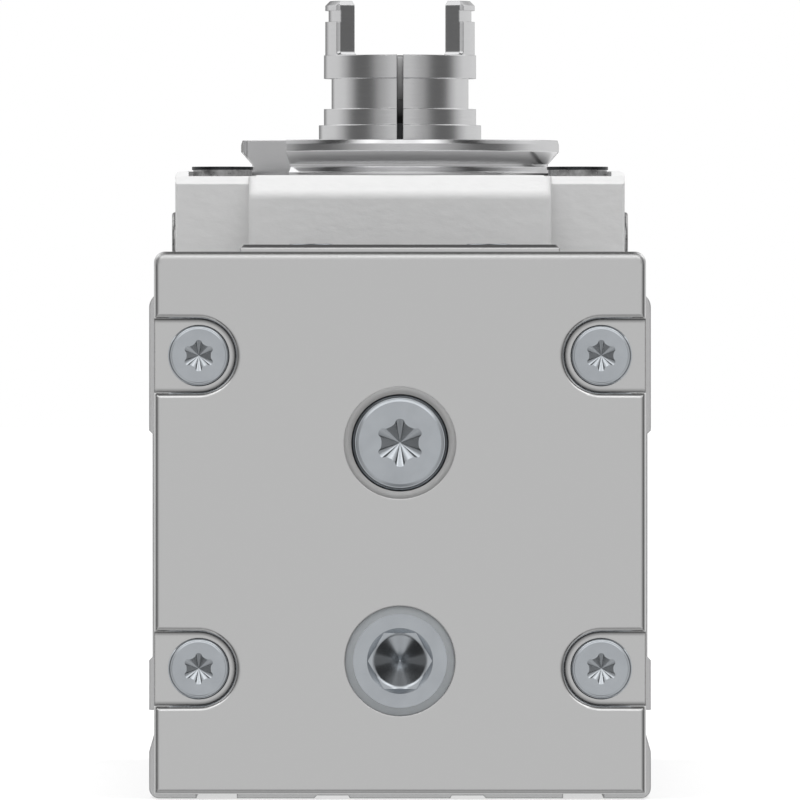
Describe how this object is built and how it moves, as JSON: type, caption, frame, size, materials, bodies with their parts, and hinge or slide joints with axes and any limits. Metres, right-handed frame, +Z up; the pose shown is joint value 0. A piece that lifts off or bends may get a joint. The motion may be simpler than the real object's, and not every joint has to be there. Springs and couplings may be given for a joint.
{
  "type": "toothed belt linear axis",
  "caption": "Extruded linear axis with a toothed belt, recirculating-ball slide table, tension end cap and a right-angle drive head with a clamp flange and jaw coupling hub.",
  "frame": {"origin": "middle of the mounting side, under the centre of the overall box", "axes": "+Z up from the mounting side to the slide table, +Y along the axis from the tension end cap to the drive head, +X to the right seen from the tension end"},
  "size_m": [0.045, 0.254, 0.075],
  "materials": {
    "end_plate": "fine bead-blasted, clear grey",
    "anodised_profile": "natural anodised, satin",
    "cast_white": "rough pale coating on a casting",
    "turned_aluminium": "fine turned",
    "zinc_steel": "zinc plated, bluish, semi-gloss",
    "dark_screw": "dark zinc, matte",
    "ground_steel": "ground",
    "strip_steel": "rolled stainless",
    "machined_aluminium": "milled",
    "belt_rubber": "matte black",
    "seal_rubber": "matte black",
    "black_plastic": "moulded, matte"
  },
  "bodies": {
    "base": {"profile_body": "anodised_profile", "guide_rail": "ground_steel", "rail_screws": "zinc_steel", "end_cap": "end_plate", "end_cap_screws": "zinc_steel", "air_port_plug": "zinc_steel", "cover_strip": "strip_steel", "strip_clamp_front": "end_plate", "strip_clamp_rear": "end_plate", "strip_clamp_screws": "zinc_steel", "drive_housing": "end_plate", "drive_housing_screws": "zinc_steel", "motor_adapter": "cast_white", "adapter_screws": "dark_screw", "side_plugs": "dark_screw", "clamp_flange": "turned_aluminium", "flange_screws": "zinc_steel", "drive_bearing_outer_rings": "ground_steel", "drive_bearing_balls": "ground_steel", "shaft_seal": "seal_rubber", "toothed_belt": "belt_rubber"},
    "tensioner": {"tension_yoke": "machined_aluminium", "idler_axle": "ground_steel", "axle_spacers": "ground_steel", "idler_bearing_inner_rings": "ground_steel", "idler_bearing_balls": "ground_steel"},
    "tension_screw": {"tension_screw": "zinc_steel"},
    "idler_rotor": {"idler_pulley": "machined_aluminium", "idler_pulley_rims": "strip_steel", "idler_bearing_outer_rings": "ground_steel"},
    "drive_rotor": {"drive_shaft": "ground_steel", "pulley_key": "ground_steel", "shaft_clip": "dark_screw", "drive_pulley": "machined_aluminium", "drive_pulley_rims": "strip_steel", "shaft_spacers": "machined_aluminium", "drive_bearing_inner_rings": "ground_steel", "coupling_hub": "turned_aluminium", "hub_screw": "zinc_steel"},
    "carriage": {"slide_table": "anodised_profile", "carriage_base": "machined_aluminium", "runner_screws": "zinc_steel", "leg_screws": "zinc_steel", "end_buffers": "seal_rubber", "sensor_magnet": "ground_steel", "slide_end_covers": "black_plastic", "runner_block": "ground_steel", "runner_end_caps": "black_plastic", "runner_balls": "ground_steel", "belt_clamp": "machined_aluminium", "belt_clamp_screws": "zinc_steel"}
  },
  "joints": [
    {"name": "carriage_slide", "type": "slide", "parent": "base", "child": "carriage", "axis": [0, 1, 0], "range_m": [-0.048, 0.048], "deforming": ["toothed_belt"]},
    {"name": "drive_shaft_turn", "type": "hinge", "parent": "base", "child": "drive_rotor", "pos_m": [0, 0.105, 0], "axis": [0, 0, 1], "range_deg": [-288.5, 288.5]},
    {"name": "tension_screw_turn", "type": "hinge", "parent": "base", "child": "tension_screw", "pos_m": [0, -0.127, 0.0319], "axis": [0, -1, 0], "continuous": true},
    {"name": "tensioner_slide", "type": "slide", "parent": "base", "child": "tensioner", "axis": [0, 1, 0], "range_m": [0, 0.0016], "deforming": ["toothed_belt"]},
    {"name": "idler_turn", "type": "hinge", "parent": "tensioner", "child": "idler_rotor", "pos_m": [0, -0.099, 0], "axis": [0, 0, 1], "range_deg": [-288.5, 288.5]}
  ],
  "couplings": [
    {"joint": "drive_shaft_turn", "follows": "carriage_slide", "rad_per_m": 104.72},
    {"joint": "idler_turn", "follows": "carriage_slide", "rad_per_m": 104.72},
    {"joint": "tension_screw_turn", "follows": "tensioner_slide", "rad_per_m": 7854}
  ]
}
